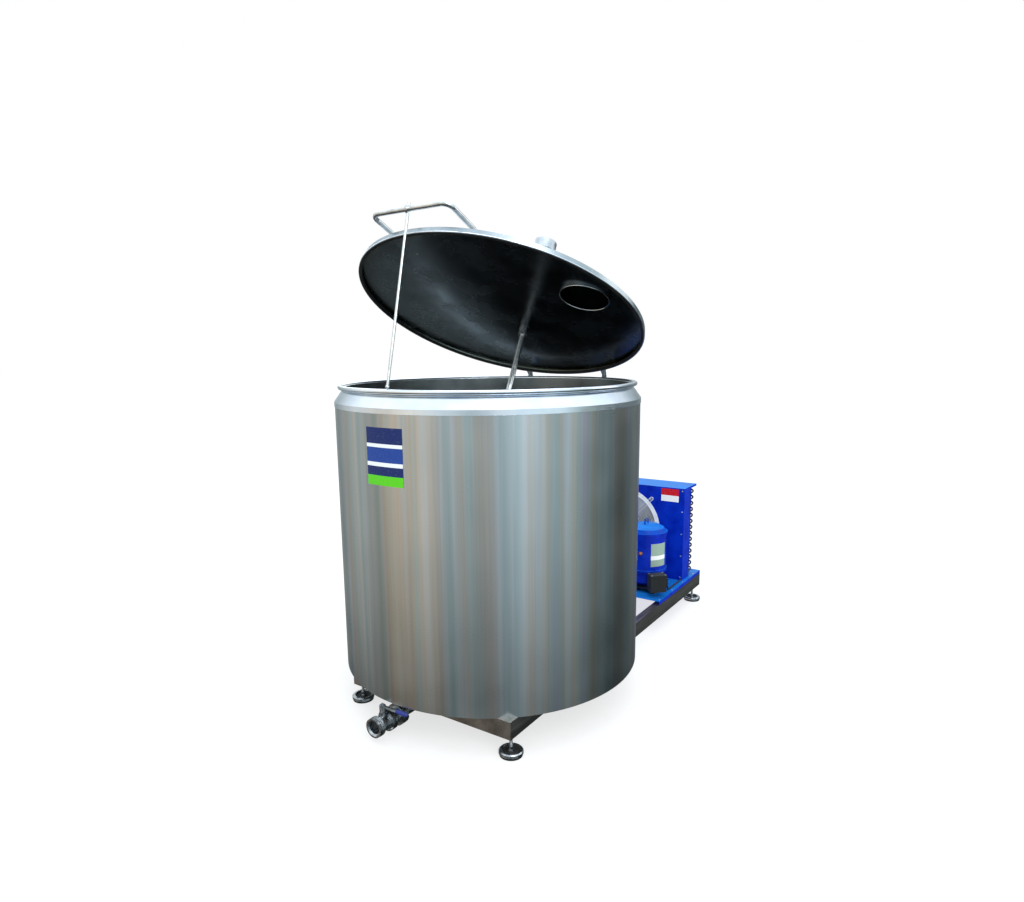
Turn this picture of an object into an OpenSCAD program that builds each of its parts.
// Bulk milk tank: a round insulated vessel with a hinged lid, on a floor frame that also carries its
// condensing unit. Millimetres. +X runs along the frame from the tank to the unit and +Z is up. Modules draw
// about the tank's axis with the floor at z = 0, and place() then moves the part's middle to x = 0.

/* [Tank] */
// Outer diameter of the jacket
tank_d = 1300; // [1250:5:1400]
// Height of the jacket
jacket_h = 1144; // [900:2:1300]
// Thickness of the jacket sheet
jacket_t = 1.5; // [1:0.1:3]
// Thickness of the foam between jacket and vessel
foam_t = 46.5; // [40:0.5:60]
// Thickness of the vessel sheet
vessel_t = 2; // [1.5:0.1:3]
// Thickness of the foam under the cold plate
floor_foam = 82; // [70:1:110]
// Thickness of the cold plate under the vessel floor
plate_t = 6; // [4:0.5:10]
// Size of the bevel between the vessel's wall and floor
floor_bevel = 22; // [10:1:40]

/* [Rim] */
// Depth of the shoulder's lip over the jacket
lip_h = 20; // [12:1:30]
// How far the shoulder cone leans in
shoulder_in = 33; // [28:1:40]
// Height of the shoulder cone
shoulder_h = 49; // [40:1:60]
// Thickness of the shoulder sheet
shoulder_t = 2; // [1.5:0.1:3]
// Thickness of the bead round the mouth
bead_d = 19; // [16:0.5:22]

/* [Lid] */
// Height of the lid's skirt
skirt_h = 22; // [18:1:32]
// Rise of the lid's dome above the skirt
dome_rise = 30; // [24:1:34]
// Thickness of the lid sheet
lid_t = 2; // [1.5:0.1:3]
// Angle that the lid stands open at
lid_open = 25.8; // [20:0.1:30]
// Distance of the hinge pin outside the jacket
hinge_out = 14; // [14:1:24]
// Distance of the hinge pin below the jacket's top edge
hinge_drop = 7; // [2:1:12]
// Distance of each hinge from the lid's middle line
hinge_y = 215; // [150:5:260]
// Diameter of the hinge pins
pin_d = 12; // [10:1:14]
// Radial clearance of a pin or shaft in its bore
fit = 0.06; // [0.02:0.01:0.09]
// Thickness of the mouth seal
seal_t = 10; // [6:1:14]

/* [Handle and prop] */
// Diameter of the handle tube
handle_d = 20; // [16:1:25]
// Half width of the handle
handle_half = 185; // [150:5:230]
// How far the grip bar overhangs the lid's edge
handle_over = 48; // [40:1:70]
// Height of the grip bar above the skirt's lower edge
handle_z = 72; // [70:1:90]
// Length of the handle's legs behind the grip bar
handle_leg = 190; // [110:1:200]
// Diameter of the prop rod
prop_d = 11; // [8:1:12]
// Diameter of the prop's ball foot
prop_ball = 16; // [14:1:20]
// Side offset of the prop from the middle line
prop_y = 0; // [-60:1:60]

/* [Agitator] */
// Distance of the agitator from the lid's centre, towards the hinge
agitator_x = 200; // [150:5:250]
// Diameter of the agitator shaft
shaft_d = 25; // [20:1:30]
// Length of the shaft below the skirt's lower edge
shaft_len = 930; // [600:5:940]
// Diameter of the paddle
paddle_d = 400; // [250:10:420]
// Height of the gearbox
gearbox_h = 150; // [90:1:180]
// Diameter of the agitator motor
motor_d = 108; // [90:1:130]
// Length of the agitator motor
motor_h = 273; // [150:1:280]

/* [Hatch] */
// Distance of the hatch from the lid's centre, towards the handle
hatch_x = 64; // [60:1:140]
// Distance of the hatch from the lid's centre, to the side
hatch_y = -438; // [-478:1:-420]
// Outer diameter of the hatch neck
neck_d = 200; // [160:2:210]
// Thickness of the neck wall
neck_t = 2.5; // [2:0.1:4]

/* [Frame] */
// Height of the rails' underside above the floor
rail_z = 77; // [70:1:100]
// Height of the rails
rail_h = 71; // [60:1:80]
// Width of the rails
rail_w = 40; // [36:1:60]
// Wall of the rail tubes
rail_t = 3; // [2:0.5:4]
// Distance of the front end of the rails from the tank's axis
frame_front = 519; // [510:1:530]
// Distance of the far end of the rails from the tank's axis
frame_far = 1548; // [1540:1:1700]
// Sideways position of the frame's middle line
frame_y = -42; // [-60:1:0]
// Distance of each rail's middle from the frame's middle line
rail_y = 387; // [380:1:420]
// Diameter of a foot
foot_d = 94; // [80:1:110]
// Diameter of a foot's stud
stud_d = 12; // [10:1:16]

/* [Outlet] */
// Sideways position of the outlet
outlet_y = 54; // [20:1:80]
// Height of the outlet's axis
outlet_z = 62; // [58:1:64]
// Bore of the outlet pipe
outlet_bore = 50; // [40:1:50]
// Wall of the outlet pipe
outlet_t = 1.5; // [1:0.1:2]
// Outer diameter of the outlet's end fitting
outlet_end_d = 78; // [70:1:84]
// How far the outlet's mouth stands out of the jacket
outlet_out = 68; // [60:1:90]
// Length of the valve's lever
lever_len = 124; // [100:1:130]

/* [Condensing unit] */
// Height of the tray above the rails
tray_h = 19; // [15:1:30]
// Distance of the tray's front edge from the tank's axis
tray_front = 905; // [890:1:930]
// Distance of the shroud's front face from the tank's axis
shroud_x = 1300; // [1290:1:1320]
// Depth of the shroud
shroud_l = 196; // [190:1:220]
// Width of the shroud
shroud_w = 754; // [740:2:780]
// Height of the shroud
shroud_h = 539; // [530:1:600]
// Sideways position of the unit's middle line
unit_y = -50; // [-60:1:-40]
// Thickness of the unit's sheet
sheet_t = 1.5; // [1:0.1:3]
// Outer diameter of the fan ring
fan_d = 470; // [420:2:480]
// Height of the fan's axis
fan_z = 447; // [440:1:460]
// Diameter of the compressor's body
comp_d = 222; // [200:2:230]
// Distance of the compressor from the tank's axis
comp_x = 1105; // [1095:1:1110]
// Sideways position of the compressor
comp_y = -284; // [-290:1:-280]
// Diameter of the liquid receiver
receiver_d = 124; // [100:2:140]

/* [Hidden] */
$fn = 64;

steel = [0.74, 0.76, 0.78];
dull_steel = [0.45, 0.44, 0.43];
unit_blue = [0.02, 0.12, 0.85];
black = [0.08, 0.08, 0.09];

// Heights and radii of the tank
jacket_r = tank_d / 2;
jacket_z = rail_z + rail_h;
jacket_top = jacket_z + jacket_h;
vessel_r = jacket_r - jacket_t - foam_t - vessel_t;
vessel_out = vessel_r + vessel_t;
foam_r = jacket_r - jacket_t;
plate_z = jacket_z + jacket_t + floor_foam;
floor_z = plate_z + plate_t + vessel_t;
cone_top = jacket_top + shoulder_h;
cone_r = jacket_r - shoulder_in;
bead_r = cone_r + bead_d / 2;
bead_z = cone_top + bead_d / 2;
bead_top = bead_z + bead_d / 2;

// Lid, drawn about its own centre with its skirt's lower edge at z = 0
lid_gap = 1.3;
lid_z = bead_top + lid_gap;
lid_r = bead_r + 2;
hinge_x = jacket_r + hinge_out;
hinge_z = jacket_top - hinge_drop;
dome_r = (lid_r * lid_r + dome_rise * dome_rise) / (2 * dome_rise);
dome_z = skirt_h + dome_rise - dome_r;
arm_t = 8;
ear_gap = 0.4;
eye_r = 16;
bar_x = -(lid_r + handle_over);
leg_foot_x = bar_x + handle_leg;
corner_r = 38;

// Prop: its axis runs from the grip bar through the middle of the bead's section
prop_gap = 0.6;
bar_open = opened(bar_x, lid_z + handle_z);
prop_run = [-bead_r, bead_z] - bar_open;
prop_len = norm(prop_run) - bead_d / 2 - prop_gap;
prop_turn = atan2(-prop_run[0], -prop_run[1]);

// Agitator
flange_z = dome_height(agitator_x) + 12;
gearbox_z = flange_z;
motor_z = gearbox_z + gearbox_h;
paddle_h = 70;
paddle_t = 5;
hub_r = shaft_d / 2 + 9;

// Hatch
neck_r = neck_d / 2;
hatch_dome = dome_height(norm([hatch_x, hatch_y]));
neck_top = hatch_dome + 30;
neck_low = hatch_dome - 13;
cover_gap = 0.5;
cover_r = neck_r + 5;
cover_pin_x = neck_r + 24;
cover_pin_z = neck_top - 16;
cover_pin_d = 6;
lug_half = 7;

// Outlet, along -X from the vessel's floor
outlet_r = outlet_bore / 2;
pipe_r = outlet_r + outlet_t;
mouth_x = -(jacket_r + outlet_out);
end_l = 28;
valve_l = 96;
nut_l = 32;
drain_x = -430;
drain_bend = 60;
end_x = mouth_x + end_l;
valve_x = end_x + valve_l;
nut_x = valve_x + nut_l;
hub_x = mouth_x + 54;
hub_top = jacket_z - 16;
seat_r = outlet_r + 1;
disc_r = seat_r - 0.8;
disc_t = 4;
stem_r = 5;
stem_low = outlet_z - seat_r - 3;
flange_x = hub_x + 16;
flange_t = 10;
gasket_t = 4;
valve_bolt_r = 3;
valve_bolt_at = 37.5;
flange_r = 43;
body_out = 32;

grip_r = 8;
grip_in = 30;
lever_t = 5;

// Thickness of the adhesive under plates and labels
label_gap = 0.3;

// Unit
tray_z = jacket_z + tray_h;
tray_half = rail_y + rail_w / 2;
fan_r = fan_d / 2;
guard_r = fan_r - 21;
body_r = comp_d / 2;
base_z = tray_z + 20;
shell_z = base_z + 5;
low_flange = tray_z + 115;
high_flange = tray_z + 322;
mount_x = 94;
mount_y = 83;
mount_bore = 4.2;
wire_r = 1.6;
guard_x = shroud_x - 8;
guard_in = 44;
coil_x = shroud_x + 112;
coil_l = 72;
coil_end = 24;
rows = 14;
row_pitch = 36;
tube_r = 4.8;
receiver_x = 1020;
receiver_y = 180;
receiver_l = 230;
receiver_z = tray_z + 20 + receiver_d / 2;
line_z = plate_z - 32;
foot_neck = 24;
foot_xs = [-frame_front + 32, 480, frame_far - 72];
rail_ys = [frame_y - rail_y, frame_y + rail_y];
cross_xs = [-frame_front + rail_w / 2, -10, 540, frame_far - rail_w / 2];
part_mid = (frame_far + mouth_x) / 2;

// Height of the dome's outside at distance r from the lid's centre
function dome_height(r) = dome_z + sqrt(dome_r * dome_r - r * r);
// A point [x, z] of the closed lid, carried round the hinge to where it stands open
function opened(x, z) = [
    hinge_x + (x - hinge_x) * cos(lid_open) + (z - hinge_z) * sin(lid_open),
    hinge_z - (x - hinge_x) * sin(lid_open) + (z - hinge_z) * cos(lid_open)
];
function unit(v) = v / norm(v);
// Height of row i of the condenser's tubes
function row_height(i) = tray_z + 22 + i * row_pitch;

module place() {
    translate([-part_mid, 0, 0]) children();
}

module on_lid() {
    place()
        translate([hinge_x, 0, hinge_z])
            rotate([0, lid_open, 0])
                translate([-hinge_x, 0, lid_z - hinge_z])
                    children();
}

module on_hatch() {
    on_lid() translate([-hatch_x, hatch_y, 0]) children();
}

module on_agitator() {
    on_lid() translate([agitator_x, 0, 0]) children();
}

module along_x(x, y, z) {
    translate([x, y, z]) rotate([0, 90, 0]) children();
}

module along_y(x, y, z) {
    translate([x, y, z]) rotate([-90, 0, 0]) children();
}

module tube(r_out, r_in, h) {
    difference() {
        cylinder(r = r_out, h = h);
        translate([0, 0, -1]) cylinder(r = r_in, h = h + 2);
    }
}

// A round bar from a to b
module bar(a, b, r) {
    way = b - a;
    translate(a)
        rotate([0, acos(way[2] / norm(way)), atan2(way[1], way[0])])
            cylinder(r = r, h = norm(way));
}

// One bend of a run: it leaves direction d1 at corner p for direction d2
module bend(p, d1, d2, bend_r, r) {
    turn = acos(d1 * d2);
    side = unit(d2 - d1 * (d1 * d2));
    up = cross(-side, d1);
    c = p - d1 * bend_r * tan(turn / 2) + side * bend_r;
    multmatrix([
        [-side[0], d1[0], up[0], c[0]],
        [-side[1], d1[1], up[1], c[1]],
        [-side[2], d1[2], up[2], c[2]],
        [0, 0, 0, 1]
    ])
        rotate_extrude(angle = turn) translate([bend_r, 0]) circle(r = r);
}

// A round run through the points pts with bends of radius bend_r
module run(pts, r, bend_r) {
    last = len(pts) - 1;
    ways = [for (i = [0:last - 1]) unit(pts[i + 1] - pts[i])];
    cuts = [for (i = [0:last]) i == 0 || i == last ? 0 : bend_r * tan(acos(ways[i - 1] * ways[i]) / 2)];
    for (i = [0:last - 1]) {
        bar(pts[i] + ways[i] * cuts[i], pts[i + 1] - ways[i] * cuts[i + 1], r);
    }
    for (i = [1:1:last - 1]) {
        bend(pts[i], ways[i - 1], ways[i], bend_r, r);
    }
}

module drain_run(r, over) {
    run([
        [drain_x, outlet_y, floor_z - vessel_t + over],
        [drain_x, outlet_y, outlet_z],
        [nut_x - over, outlet_y, outlet_z]
    ], r, drain_bend);
}

module suction_run(r, over) {
    run([
        [comp_x, comp_y + body_r + 0.1, tray_z + 163],
        [comp_x, comp_y + body_r + 62, tray_z + 163],
        [comp_x, comp_y + body_r + 62, line_z],
        [360, comp_y + body_r + 62, line_z],
        [360, comp_y + body_r + 62, plate_z + over]
    ], r, 22);
}

module liquid_run(r, over) {
    run([
        [420, 20, plate_z + over],
        [420, 20, line_z],
        [receiver_x, 20, line_z],
        [receiver_x, 20, receiver_z],
        [receiver_x, receiver_y - receiver_l / 2, receiver_z]
    ], r, 14);
}

// ---- Tank ----

module outer_jacket() {
    color(steel) place() difference() {
        translate([0, 0, jacket_z]) tube(jacket_r, foam_r, jacket_h);
        suction_run(9.4, 0);
        liquid_run(5.4, 0);
    }
}

module jacket_floor() {
    color(steel) place() difference() {
        translate([0, 0, jacket_z]) cylinder(r = foam_r, h = jacket_t);
        translate([drain_x, outlet_y, jacket_z - 1]) cylinder(r = pipe_r + 0.5, h = jacket_t + 2);
    }
}

module shoulder_ring() {
    lip_r = jacket_r + shoulder_t;
    color(steel) place() rotate_extrude() polygon([
        [jacket_r, jacket_top - lip_h],
        [lip_r, jacket_top - lip_h],
        [lip_r, jacket_top],
        [cone_r, cone_top],
        [vessel_out, cone_top],
        [vessel_out, cone_top - shoulder_t],
        [cone_r - 1, cone_top - shoulder_t],
        [jacket_r, jacket_top]
    ]);
}

module rim_bead() {
    color(steel) place() translate([0, 0, bead_z])
        rotate_extrude() translate([bead_r, 0]) circle(r = bead_d / 2);
}

// The vessel as a solid: wall, bevel and floor grown by t past the inside face
module vessel_form(t, top) {
    rotate_extrude() polygon([
        [0, floor_z - t],
        [vessel_r - floor_bevel + t * 0.4, floor_z - t],
        [vessel_r + t, floor_z + floor_bevel - t * 0.4],
        [vessel_r + t, top],
        [0, top]
    ]);
}

module inner_vessel() {
    color(steel) place() {
        difference() {
            union() {
                vessel_form(vessel_t, bead_z + 1);
                translate([0, 0, bead_z - 1]) cylinder(r = bead_r - 2, h = 2);
            }
            vessel_form(0, bead_z + 2);
            translate([0, 0, bead_z]) rotate_extrude() translate([bead_r, 0]) circle(r = bead_d / 2);
            translate([drain_x, outlet_y, floor_z - vessel_t - 1]) cylinder(r = outlet_r, h = vessel_t + 2);
        }
    }
}

module evaporator_plate() {
    color(steel) place() difference() {
        translate([0, 0, plate_z]) cylinder(r = vessel_r - floor_bevel - 6, h = plate_t);
        translate([drain_x, outlet_y, plate_z - 1]) cylinder(r = pipe_r + 12, h = plate_t + 2);
    }
}

module insulation_foam() {
    color([0.93, 0.86, 0.62]) place() difference() {
        rotate_extrude() polygon([
            [0, jacket_z + jacket_t],
            [foam_r, jacket_z + jacket_t],
            [foam_r, jacket_top - 2],
            [cone_r - 4, cone_top - shoulder_t - 2],
            [0, cone_top - shoulder_t - 2]
        ]);
        vessel_form(vessel_t, cone_top);
        translate([0, 0, plate_z]) cylinder(r = vessel_r - floor_bevel - 6, h = plate_t + 0.1);
        translate([drain_x, outlet_y, jacket_z]) cylinder(r = pipe_r, h = floor_foam + 40);
        suction_run(9, 0);
        liquid_run(5, 0);
    }
}

module name_plate() {
    half = 7.8;
    turn = -0.6;
    height = 214;
    color([0.1, 0.2, 0.5]) place() translate([0, 0, jacket_z + 860])
        rotate([0, 0, 180 - half + turn])
            rotate_extrude(angle = 2 * half) translate([jacket_r + label_gap, 0]) square([1, height]);
}

// ---- Frame ----

module side_rails() {
    length = frame_far + frame_front;
    color(dull_steel) place() for (y = rail_ys) difference() {
        translate([-frame_front, y - rail_w / 2, rail_z]) cube([length, rail_w, rail_h]);
        translate([-frame_front - 1, y - rail_w / 2 + rail_t, rail_z + rail_t])
            cube([length + 2, rail_w - 2 * rail_t, rail_h - 2 * rail_t]);
        for (x = foot_xs) translate([x, y, rail_z - 1]) cylinder(r = stud_d / 2 + 0.3, h = rail_t + 2);
    }
}

module cross_rails() {
    y0 = rail_ys[0] + rail_w / 2;
    length = 2 * rail_y - rail_w;
    color(dull_steel) place() difference() {
        for (x = cross_xs) difference() {
            translate([x - rail_w / 2, y0, rail_z]) cube([rail_w, length, rail_h]);
            translate([x - rail_w / 2 + rail_t, y0 - 1, rail_z + rail_t])
                cube([rail_w - 2 * rail_t, length + 2, rail_h - 2 * rail_t]);
        }
        along_x(-frame_front - 1, outlet_y, outlet_z) cylinder(r = pipe_r + 4, h = rail_w + 2);
        translate([-frame_front - 1, outlet_y - pipe_r - 4, rail_z - 20])
            cube([rail_w + 2, 2 * pipe_r + 8, 20 + outlet_z - rail_z + 15]);
    }
}

module at_feet() {
    place() for (x = foot_xs, y = rail_ys) translate([x, y, 0]) children();
}

module foot_studs() {
    color(steel) at_feet() translate([0, 0, 16]) cylinder(r = stud_d / 2, h = rail_z + 20 - 16);
}

module foot_nuts() {
    color(steel) at_feet() for (z = [rail_z - 10, foot_neck]) translate([0, 0, z]) difference() {
        cylinder(r = stud_d * 0.88, h = 10, $fn = 6);
        translate([0, 0, -1]) cylinder(r = stud_d / 2, h = 12);
    }
}

module foot_plates() {
    rim = foot_d / 2;
    hole = stud_d / 2;
    color(steel) at_feet() rotate_extrude() polygon([
        [0, 9], [rim, 9], [rim, 19], [rim - 4, 23], [rim - 12, 23], [rim - 20, 16], [hole + 6, 16],
        [hole + 4, foot_neck], [hole, foot_neck], [hole, 16], [0, 16]
    ]);
}

module foot_pads() {
    color(black) at_feet() cylinder(r = foot_d / 2 - 3, h = 9);
}

// ---- Outlet ----

module outlet_pipe() {
    color(steel) place() difference() {
        drain_run(pipe_r, 0);
        drain_run(outlet_r, 0.5);
    }
}

module outlet_nut() {
    slots = 8;
    color(steel) place() along_x(valve_x, outlet_y, outlet_z) difference() {
        cylinder(r = 45, h = nut_l);
        translate([0, 0, -1]) cylinder(r = outlet_r + 2, h = nut_l + 2);
        for (i = [0:slots - 1]) rotate([0, 0, i * 360 / slots])
            translate([46, 0, 8]) cylinder(r = 5, h = nut_l);
    }
}

module valve_body() {
    color(steel) place() difference() {
        union() {
            along_x(end_x, outlet_y, outlet_z) cylinder(r = body_out, h = valve_l);
            for (x = [flange_x, flange_x + flange_t + gasket_t])
                along_x(x, outlet_y, outlet_z) cylinder(r = flange_r, h = flange_t);
            translate([hub_x, outlet_y, outlet_z]) cylinder(r = 12.5, h = hub_top - 6 - outlet_z);
        }
        along_x(end_x - 1, outlet_y, outlet_z) cylinder(r = seat_r, h = valve_l + 2);
        translate([hub_x, outlet_y, stem_low - 0.5]) cylinder(r = stem_r + fit, h = 120);
        at_valve_bolts() cylinder(r = valve_bolt_r, h = 2 * flange_t + gasket_t + 2);
    }
}

// The four bolts of the valve's flanges, each turned to run along X from just before the first flange
module at_valve_bolts() {
    for (a = [45:90:315]) translate([flange_x - 1, outlet_y, outlet_z])
        rotate([a, 0, 0]) along_x(0, 0, valve_bolt_at) children();
}

module valve_gasket() {
    color(black) place() difference() {
        along_x(flange_x + flange_t, outlet_y, outlet_z) tube(flange_r - 1, body_out + 0.2, gasket_t);
        at_valve_bolts() cylinder(r = valve_bolt_r, h = 2 * flange_t + gasket_t + 2);
    }
}

module valve_bolts() {
    grip = 2 * flange_t + gasket_t;
    head = 5;
    color(steel) place() at_valve_bolts() {
        translate([0, 0, 1 - head]) cylinder(r = 5.2, h = head, $fn = 6);
        translate([0, 0, 1]) cylinder(r = valve_bolt_r, h = grip);
        translate([0, 0, 1 + grip]) cylinder(r = 5.2, h = head, $fn = 6);
    }
}

module outlet_end() {
    color(steel) place() difference() {
        along_x(mouth_x, outlet_y, outlet_z) cylinder(r = outlet_end_d / 2, h = end_l);
        along_x(mouth_x - 1, outlet_y, outlet_z) cylinder(r = outlet_r, h = end_l + 2);
        along_x(mouth_x - 1, outlet_y, outlet_z) cylinder(r1 = outlet_r + 8, r2 = outlet_r, h = 7);
    }
}

module valve_disc() {
    color(steel) place() along_x(hub_x - disc_t / 2, outlet_y, outlet_z) cylinder(r = disc_r, h = disc_t);
}

// The stem crosses the bore, slotted for the disc, and carries the flat lever on top
module valve_lever() {
    color(steel) place() translate([hub_x, outlet_y, 0]) difference() {
        union() {
            translate([0, 0, stem_low]) cylinder(r = stem_r, h = hub_top - stem_low);
            translate([0, 0, hub_top - 5.6]) cylinder(r = 12.5, h = 9);
            translate([-grip_r + 1, -lever_len + grip_in, hub_top - 3])
                cube([2 * grip_r - 2, lever_len - grip_in - 2, lever_t]);
        }
        along_x(-disc_t / 2, 0, outlet_z) cylinder(r = disc_r, h = disc_t);
    }
}

module lever_grip() {
    color([0.1, 0.15, 0.5]) place() translate([hub_x, outlet_y, hub_top - 0.5]) difference() {
        union() {
            along_y(0, -lever_len, 0) cylinder(r = grip_r, h = 50);
            translate([0, -lever_len, 0]) sphere(r = grip_r);
        }
        translate([-grip_r + 1, -lever_len + grip_in, -lever_t / 2]) cube([2 * grip_r - 2, lever_len, lever_t]);
    }
}

// ---- Hinges ----

module hinge_brackets() {
    ear_t = 7;
    foot_z = jacket_top - lip_h - 64;
    color(steel) place() for (side = [-1, 1]) difference() {
        union() {
            for (k = [-1, 1]) translate([0, side * hinge_y + k * (arm_t / 2 + ear_gap + ear_t / 2), 0]) {
                along_y(hinge_x, -ear_t / 2, hinge_z) cylinder(r = 13, h = ear_t);
                translate([0, ear_t / 2, 0]) rotate([90, 0, 0]) linear_extrude(ear_t) polygon([
                    [jacket_r - 80, foot_z],
                    [jacket_r - 20, foot_z],
                    [hinge_x + 12.9, hinge_z - 2],
                    [hinge_x - 13, hinge_z],
                    [jacket_r - 80, hinge_z - 16]
                ]);
            }
        }
        translate([0, 0, foot_z - 1]) cylinder(r = jacket_r, h = 66);
        translate([0, 0, jacket_top - lip_h - 0.5]) cylinder(r = jacket_r + shoulder_t + 0.3, h = 120);
        along_y(hinge_x, side * hinge_y - 30, hinge_z) cylinder(r = pin_d / 2, h = 60);
    }
}

module hinge_pins() {
    color(steel) place() for (side = [-1, 1]) {
        along_y(hinge_x, side * hinge_y - 16, hinge_z) cylinder(r = pin_d / 2, h = 32);
        along_y(hinge_x, side * hinge_y - 19, hinge_z) cylinder(r = pin_d / 2 + 3, h = 3);
        along_y(hinge_x, side * hinge_y + 16, hinge_z) cylinder(r = pin_d / 2 + 3, h = 3);
    }
}

module hinge_arms() {
    drop = hinge_z - lid_z;
    top = skirt_h + 16;
    color(steel) on_lid() for (side = [-1, 1]) difference() {
        union() {
            translate([0, side * hinge_y + arm_t / 2, 0]) rotate([90, 0, 0]) linear_extrude(arm_t) polygon([
                [470, skirt_h - 4],
                [470, top + 4],
                [620, top],
                [hinge_x - 14, top],
                [hinge_x + 12, top - 30],
                [hinge_x + 16, drop],
                [hinge_x - 16, drop],
                [hinge_x - 24, skirt_h - 20],
                [606, skirt_h - 4]
            ]);
            along_y(hinge_x, side * hinge_y - arm_t / 2, drop) cylinder(r = eye_r, h = arm_t);
        }
        lid_form(0, -1);
        translate([0, 0, -40]) cylinder(r = lid_r + 0.4, h = skirt_h + 40);
        along_y(hinge_x, side * hinge_y - 10, drop) cylinder(r = pin_d / 2 + fit, h = 20);
    }
}

// ---- Lid ----

// The lid's outline, filled from z = low up to the dome and drawn in by t on every side
module lid_form(t, low) {
    steps = 12;
    rotate_extrude() polygon(concat(
        [[0, low], [lid_r - t, low]],
        [for (i = [steps:-1:0]) [(lid_r - t) * i / steps, dome_height((lid_r - t) * i / steps) - t]]
    ));
}

module lid_skin() {
    color(steel) on_lid() difference() {
        lid_form(0, 0);
        lid_form(lid_t, -1);
        translate([agitator_x, 0, 0]) cylinder(r = shaft_d / 2 + 10, h = 100);
        translate([-hatch_x, hatch_y, 0]) cylinder(r = neck_r, h = 100);
    }
}

module lid_seal() {
    color(black) on_lid() translate([0, 0, -lid_gap + 0.4])
        tube(lid_r - lid_t, lid_r - lid_t - seal_t, 12);
}

module handle() {
    r = handle_d / 2;
    y = handle_half;
    foot_z = dome_height(norm([leg_foot_x, y])) - 6;
    color(steel) on_lid() difference() {
        union() {
            run([
                [leg_foot_x, -y, foot_z],
                [leg_foot_x, -y, handle_z],
                [bar_x, -y, handle_z],
                [bar_x, y, handle_z],
                [leg_foot_x, y, handle_z],
                [leg_foot_x, y, foot_z]
            ], r, corner_r - 2);
            for (s = [-y, y]) translate([leg_foot_x, s, foot_z]) cylinder(r = r + 8, h = 12);
        }
        lid_form(0, -1);
    }
}

module prop_rod() {
    eye_out = handle_d / 2 + 7;
    color([0.85, 0.87, 0.88]) place() translate([bar_open[0], prop_y, bar_open[1]])
        rotate([0, prop_turn, 0]) difference() {
            union() {
                along_y(0, -6, 0) cylinder(r = eye_out, h = 12);
                cylinder(r = prop_d / 2, h = eye_out + 6);
                translate([0, 0, -prop_len + prop_ball / 2]) cylinder(r = prop_d / 2, h = prop_len - 20);
                translate([0, 0, -prop_len + prop_ball / 2]) sphere(r = prop_ball / 2);
            }
            along_y(0, -10, 0) cylinder(r = handle_d / 2 + fit, h = 20);
        }
}

// ---- Hatch ----

module hatch_neck() {
    ear_t = 4;
    color(steel) on_hatch() difference() {
        union() {
            translate([0, 0, neck_low]) cylinder(r = neck_r, h = neck_top - neck_low);
            for (y = [-lug_half - 1 - ear_t, lug_half + 1]) {
                along_y(cover_pin_x, y, cover_pin_z) cylinder(r = lug_half, h = ear_t);
                translate([neck_r - 6, y, hatch_dome - 10])
                    cube([cover_pin_x - neck_r + 6, ear_t, cover_pin_z - 1 - (hatch_dome - 10)]);
            }
        }
        translate([0, 0, neck_low - 1]) cylinder(r = neck_r - neck_t, h = neck_top - neck_low + 2);
        along_y(cover_pin_x, -20, cover_pin_z) cylinder(r = cover_pin_d / 2, h = 40);
        intersection() {
            translate([hatch_x, -hatch_y, 0]) lid_form(0, -1);
            translate([0, 0, -50]) tube(300, neck_r, 200);
        }
    }
}

module hatch_pin() {
    color(steel) on_hatch() along_y(cover_pin_x, -14, cover_pin_z) cylinder(r = cover_pin_d / 2, h = 28);
}

module hatch_cover() {
    wall = 1.5;
    low = cover_pin_z;
    high = neck_top + cover_gap;
    color(steel) on_hatch() difference() {
        union() {
            translate([0, 0, low]) cylinder(r = cover_r, h = high + wall - low);
            translate([neck_r + 1, -lug_half, low - 3]) cube([cover_pin_x - neck_r - 1, 2 * lug_half, 10]);
            along_y(cover_pin_x, -lug_half, cover_pin_z) cylinder(r = lug_half, h = 2 * lug_half);
            translate([0, 0, high]) cylinder(r = 9, h = 24);
            translate([0, 0, high + 30]) sphere(r = 16);
        }
        translate([0, 0, low - 20]) cylinder(r = cover_r - wall, h = high - low + 20);
        along_y(cover_pin_x, -20, cover_pin_z) cylinder(r = cover_pin_d / 2 + fit, h = 40);
    }
}

// ---- Agitator ----

module agitator_flange() {
    color(steel) on_agitator() difference() {
        union() {
            translate([0, 0, flange_z - 30]) cylinder(r = 75, h = 30);
            translate([0, 0, 2]) cylinder(r = shaft_d / 2 + 10, h = flange_z - 2);
        }
        intersection() {
            translate([-agitator_x, 0, 0]) lid_form(0, -60);
            translate([0, 0, -70]) tube(200, shaft_d / 2 + 10, 200);
        }
        translate([0, 0, -1]) cylinder(r = shaft_d / 2 + fit, h = flange_z + 2);
    }
}

module agitator_gearbox() {
    color([0.62, 0.64, 0.66]) on_agitator() translate([0, 0, gearbox_z]) difference() {
        union() {
            cylinder(r = 62, h = 12);
            translate([-52, -52, 12]) cube([104, 104, gearbox_h - 24]);
            translate([0, 0, gearbox_h - 12]) cylinder(r = 58, h = 12);
        }
        translate([0, 0, -1]) cylinder(r = shaft_d / 2 + fit, h = gearbox_h - 30);
    }
}

module agitator_motor() {
    r = motor_d / 2;
    cowl = 46;
    color([0.7, 0.72, 0.74]) on_agitator() translate([0, 0, motor_z]) {
        cylinder(r = r, h = 10);
        translate([0, 0, 10]) cylinder(r = r - 7, h = motor_h - cowl - 10);
        for (a = [0:15:345]) rotate([0, 0, a]) translate([r - 8, -1.2, 10]) cube([7, 2.4, motor_h - cowl - 10]);
        translate([0, 0, motor_h - cowl]) cylinder(r = r, h = cowl);
        translate([-32, -r - 26, 50]) cube([64, 34, 64]);
    }
}

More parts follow.
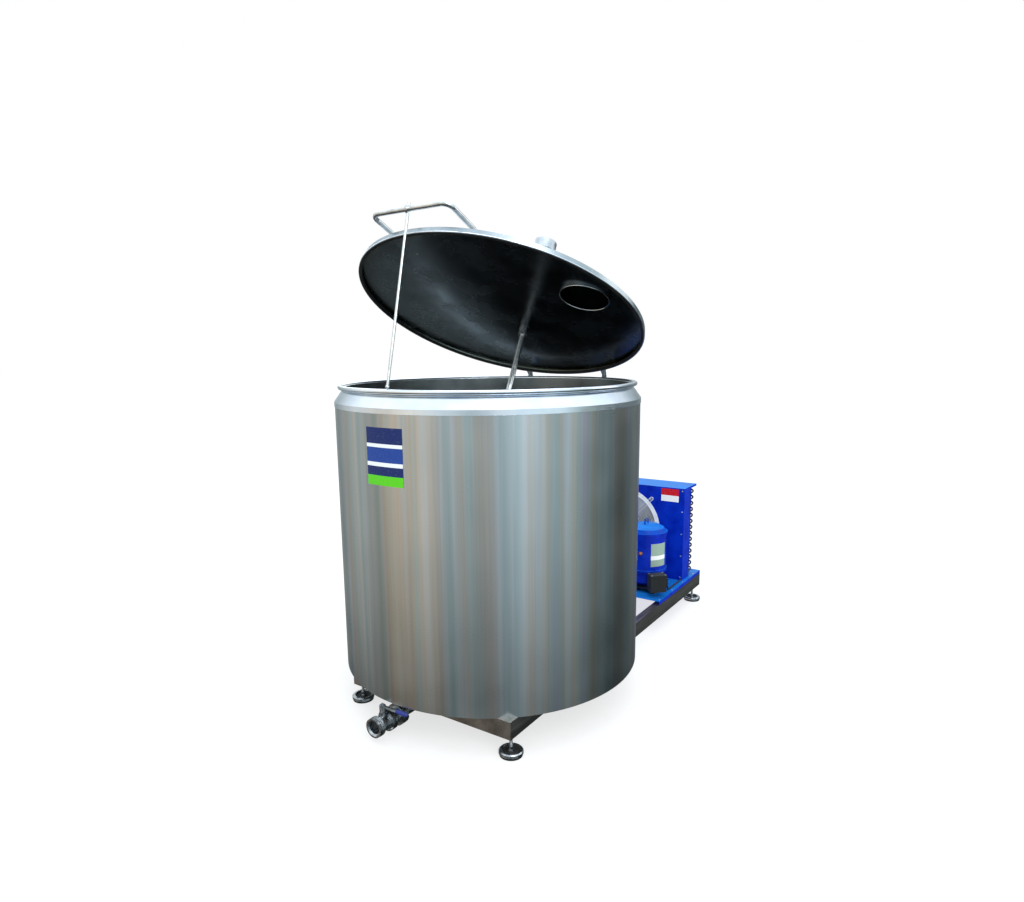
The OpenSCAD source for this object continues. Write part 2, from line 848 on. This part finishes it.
module agitator_shaft() {
    color(steel) on_agitator() translate([0, 0, -shaft_len])
        cylinder(r = shaft_d / 2, h = shaft_len + gearbox_z + gearbox_h - 34);
}

module agitator_paddle() {
    color(steel) on_agitator() translate([0, 0, -shaft_len + 4]) difference() {
        union() {
            cylinder(r = hub_r, h = 60);
            intersection() {
                translate([0, 0, -10]) cylinder(r = paddle_d / 2, h = 90);
                for (a = [0, 180]) rotate([0, 0, a]) translate([hub_r - 3, 0, 30]) rotate([30, 0, 0])
                    translate([0, -paddle_t / 2, -paddle_h / 2]) cube([paddle_d, paddle_t, paddle_h]);
            }
        }
        translate([0, 0, -20]) cylinder(r = shaft_d / 2, h = 100);
    }
}

// ---- Condensing unit ----

module unit_tray() {
    color(unit_blue) place() translate([0, frame_y, 0]) difference() {
        translate([tray_front, -tray_half, jacket_z]) cube([frame_far - tray_front, 2 * tray_half, tray_h]);
        translate([tray_front - 1, -tray_half + sheet_t, jacket_z - 1])
            cube([frame_far - tray_front - sheet_t + 1, 2 * (tray_half - sheet_t), tray_h - sheet_t + 1]);
        translate([tray_front - 250, 0, jacket_z - 1]) cylinder(r = 310, h = tray_h + 2);
        translate([comp_x, comp_y - frame_y, jacket_z]) at_mounts() cylinder(r = mount_bore, h = tray_h + 2);
    }
}

module condenser_shroud() {
    y0 = unit_y - shroud_w / 2;
    color(unit_blue) place() difference() {
        translate([shroud_x, y0, tray_z]) cube([shroud_l, shroud_w, shroud_h]);
        translate([shroud_x + sheet_t, y0 + sheet_t, tray_z - 1])
            cube([shroud_l, shroud_w - 2 * sheet_t, shroud_h - sheet_t + 1]);
        translate([shroud_x + 100, y0 - 1, tray_z - 1]) cube([shroud_l, shroud_w + 2, shroud_h - 11]);
        along_x(shroud_x - 1, unit_y, fan_z) cylinder(r = guard_r, h = sheet_t + 2);
        along_x(shroud_x - 1, comp_y, tray_z + 75) cylinder(r = 8, h = sheet_t + 2);
        along_x(shroud_x - 1, 250, receiver_z + 85) cylinder(r = 7, h = sheet_t + 2);
    }
}

module condenser_fins() {
    y0 = unit_y - shroud_w / 2 + coil_end;
    color([0.5, 0.52, 0.56]) place() difference() {
        translate([coil_x, y0, tray_z + 0.3]) cube([coil_l, shroud_w - 2 * coil_end, shroud_h - sheet_t - 0.6]);
        for (i = [0:rows - 1], k = [0, 1]) along_y(coil_x + 18 + 36 * k, y0 - 1, row_height(i) + k * row_pitch / 2)
            cylinder(r = tube_r, h = shroud_w);
    }
}

module condenser_tubes() {
    y0 = unit_y - shroud_w / 2 + coil_end;
    color([0.5, 0.33, 0.22]) place() for (i = [0:rows - 1], k = [0, 1])
        along_y(coil_x + 18 + 36 * k, y0, row_height(i) + k * row_pitch / 2)
            cylinder(r = tube_r, h = shroud_w - 2 * coil_end);
}

// The leaning hairpin bends that join the two rows of tube at both ends
module condenser_bends() {
    y0 = unit_y - shroud_w / 2 + coil_end;
    y1 = unit_y + shroud_w / 2 - coil_end;
    lean = atan2(row_pitch / 2, 36);
    half = norm([36, row_pitch / 2]) / 2;
    color([0.5, 0.33, 0.22]) place() for (i = [0:rows - 1]) {
        translate([coil_x + 36, y0, row_height(i) + row_pitch / 4]) rotate([0, -lean, 0]) rotate([0, 0, 180])
            rotate_extrude(angle = 180) translate([half, 0]) circle(r = tube_r);
        if (i < rows - 1) translate([coil_x + 36, y1, row_height(i) + row_pitch * 3 / 4]) rotate([0, lean, 0])
            rotate_extrude(angle = 180) translate([half, 0]) circle(r = tube_r);
    }
}

module fan_ring() {
    color([0.85, 0.88, 0.9]) place() along_x(shroud_x - 3, unit_y, fan_z) tube(fan_r, guard_r, 3);
}

// Rings of wire in front of eight straight wires, which end in an ear with two sides at each corner
module fan_guard() {
    straight_z = 2 * wire_r + 0.05;
    ear_in = 9;
    ear_out = 24;
    color([0.85, 0.88, 0.9]) place() along_x(guard_x, unit_y, fan_z) {
        for (r = [62:19:guard_r + 3]) rotate_extrude() translate([r, 0]) circle(r = wire_r);
        for (a = [45:90:315]) rotate([0, 0, a]) {
            for (s = [-ear_in, ear_in]) along_x(guard_in, s, straight_z)
                cylinder(r = wire_r, h = fan_r + ear_out - guard_in);
            translate([fan_r + ear_out, 0, straight_z]) rotate([0, 0, -90])
                rotate_extrude(angle = 180) translate([ear_in, 0]) circle(r = wire_r);
        }
    }
}

module fan_motor() {
    front = shroud_x - 84;
    back = guard_x + wire_r - 0.3;
    color(black) place() along_x(front, unit_y, fan_z) difference() {
        cylinder(r = 46, h = back - front);
        translate([0, 0, 40]) cylinder(r = 5 + fit, h = 50);
    }
}

module fan_blades() {
    hub_x0 = shroud_x + 14;
    color([0.75, 0.77, 0.8]) place() along_x(hub_x0, unit_y, fan_z) {
        difference() {
            cylinder(r = 36, h = 30);
            translate([0, 0, 24]) cylinder(r = 28, h = 10);
        }
        translate([0, 0, -50]) cylinder(r = 5, h = 52);
        intersection() {
            translate([0, 0, -20]) tube(guard_r - 10, 35, 70);
            for (a = [0:72:288]) rotate([0, 0, a]) translate([30, 0, 15]) rotate([28, 0, 0])
                translate([0, -55, -1]) cube([guard_r, 110, 2]);
        }
    }
}

module compressor_shell() {
    wall = 4;
    lip = body_r + 5;
    color(unit_blue) place() translate([comp_x, comp_y, 0]) rotate_extrude() polygon([
        [0, shell_z], [body_r - 40, shell_z], [body_r - 8, shell_z + 24], [body_r - 8, low_flange - 6],
        [lip, low_flange - 6], [lip, low_flange + 6], [body_r, low_flange + 6], [body_r, high_flange - 6],
        [lip, high_flange - 6], [lip, high_flange + 6], [body_r - 4, high_flange + 6],
        [body_r - 14, high_flange + 24], [body_r - 40, high_flange + 36], [0, high_flange + 40],
        [0, high_flange + 40 - wall], [body_r - 42, high_flange + 32], [body_r - 17, high_flange + 21],
        [body_r - wall - 4, high_flange], [body_r - wall - 4, low_flange],
        [body_r - 12, low_flange - 8], [body_r - 12, shell_z + 26], [body_r - 42, shell_z + wall],
        [0, shell_z + wall]
    ]);
}

module compressor_core() {
    color([0.4, 0.38, 0.36]) place() translate([comp_x, comp_y, shell_z + 4]) {
        cylinder(r = 40, h = 20);
        translate([0, 0, 20]) cylinder(r = 74, h = 90);
        translate([0, 0, 110]) cylinder(r = 84, h = 130);
    }
}

module compressor_base() {
    color(black) place() translate([comp_x, comp_y, base_z]) difference() {
        translate([-110, -96, 0]) cube([220, 192, 5]);
        at_mounts() translate([0, 0, -1]) cylinder(r = mount_bore, h = 8);
    }
}

module at_mounts() {
    for (x = [-mount_x, mount_x], y = [-mount_y, mount_y]) translate([x, y, 0]) children();
}

module compressor_mounts() {
    color(black) place() translate([comp_x, comp_y, tray_z]) at_mounts() tube(13, mount_bore, base_z - tray_z);
}

module terminal_box() {
    color(black) place() translate([comp_x, comp_y, low_flange]) rotate([0, 0, 223.4]) {
        translate([body_r - 8, 0, -37]) rotate([0, 90, 0]) cylinder(r = 22, h = 46);
        translate([body_r + 36, -44, -85]) cube([56, 88, 82]);
        translate([body_r + 34, -46, -3]) cube([60, 92, 12]);
    }
}

module terminal_cable() {
    cable_r = 4.5;
    cable_y = -421;
    lie = tray_z + cable_r + 0.3;
    color(black) place() run([
        [1029, cable_y, 250],
        [1085, cable_y, 250],
        [1085, cable_y, lie],
        [shroud_x - 0.3, cable_y, lie]
    ], cable_r, 8 * cable_r);
}

module liquid_receiver() {
    r = receiver_d / 2;
    half = receiver_l / 2;
    color(unit_blue) place() translate([receiver_x, receiver_y, receiver_z]) difference() {
        union() {
            along_y(0, -half, 0) cylinder(r = r, h = receiver_l);
            for (y = [-70, 50]) translate([-46, y, tray_z - receiver_z]) cube([92, 20, receiver_z - tray_z]);
        }
        along_y(0, -half + 3, 0) cylinder(r = r - 3, h = receiver_l - 6);
    }
}

module filter_drier() {
    color([0.35, 0.37, 0.3]) place() along_x(receiver_x - 112, 20, line_z) difference() {
        union() {
            translate([0, 0, 8]) cylinder(r = 21, h = 70);
            cylinder(r = 9, h = 86);
        }
        translate([0, 0, -1]) cylinder(r = 5, h = 90);
    }
}

module suction_line() {
    color([0.62, 0.36, 0.22]) place() suction_run(9, 0);
}

module liquid_line() {
    color([0.72, 0.45, 0.3]) place() liquid_run(5, 0);
}

// Hot gas from compressor to condenser, and liquid from condenser to receiver
module gas_lines() {
    color([0.72, 0.45, 0.3]) place() {
        along_x(comp_x + body_r - 8, comp_y, tray_z + 75) cylinder(r = 6, h = coil_x - comp_x - body_r + 8);
        run([
            [receiver_x, 250, receiver_z + receiver_d / 2 + 0.1],
            [receiver_x, 250, receiver_z + 85],
            [coil_x, 250, receiver_z + 85]
        ], 5, 14);
    }
}

module unit_bolts() {
    below = 8;
    head = 6;
    color(steel) place() translate([comp_x, comp_y, tray_z]) at_mounts() {
        translate([0, 0, -below]) cylinder(r = mount_bore - 0.2, h = below + shell_z - tray_z + head);
        translate([0, 0, shell_z - tray_z]) cylinder(r = 8, h = head, $fn = 6);
    }
}

module unit_labels() {
    color([0.9, 0.9, 0.9]) place() {
        translate([shroud_x - 0.8, -394, tray_z + 458]) cube([0.8, 104, 74]);
        translate([comp_x, comp_y, tray_z + 145]) rotate([0, 0, 217])
            rotate_extrude(angle = 50) translate([body_r + label_gap, 0]) square([0.8, 128]);
    }
}

outer_jacket();
jacket_floor();
shoulder_ring();
rim_bead();
inner_vessel();
evaporator_plate();
insulation_foam();
side_rails();
cross_rails();
foot_studs();
foot_nuts();
foot_plates();
foot_pads();
outlet_pipe();
outlet_nut();
valve_body();
valve_gasket();
valve_bolts();
outlet_end();
valve_disc();
valve_lever();
lever_grip();
hinge_brackets();
hinge_pins();
name_plate();
lid_skin();
lid_seal();
hinge_arms();
handle();
prop_rod();
hatch_neck();
hatch_pin();
hatch_cover();
agitator_flange();
agitator_gearbox();
agitator_motor();
agitator_shaft();
agitator_paddle();
unit_tray();
condenser_shroud();
condenser_fins();
condenser_tubes();
condenser_bends();
fan_ring();
fan_guard();
fan_motor();
fan_blades();
compressor_shell();
compressor_core();
compressor_base();
compressor_mounts();
terminal_box();
terminal_cable();
liquid_receiver();
filter_drier();
suction_line();
liquid_line();
gas_lines();
unit_bolts();
unit_labels();
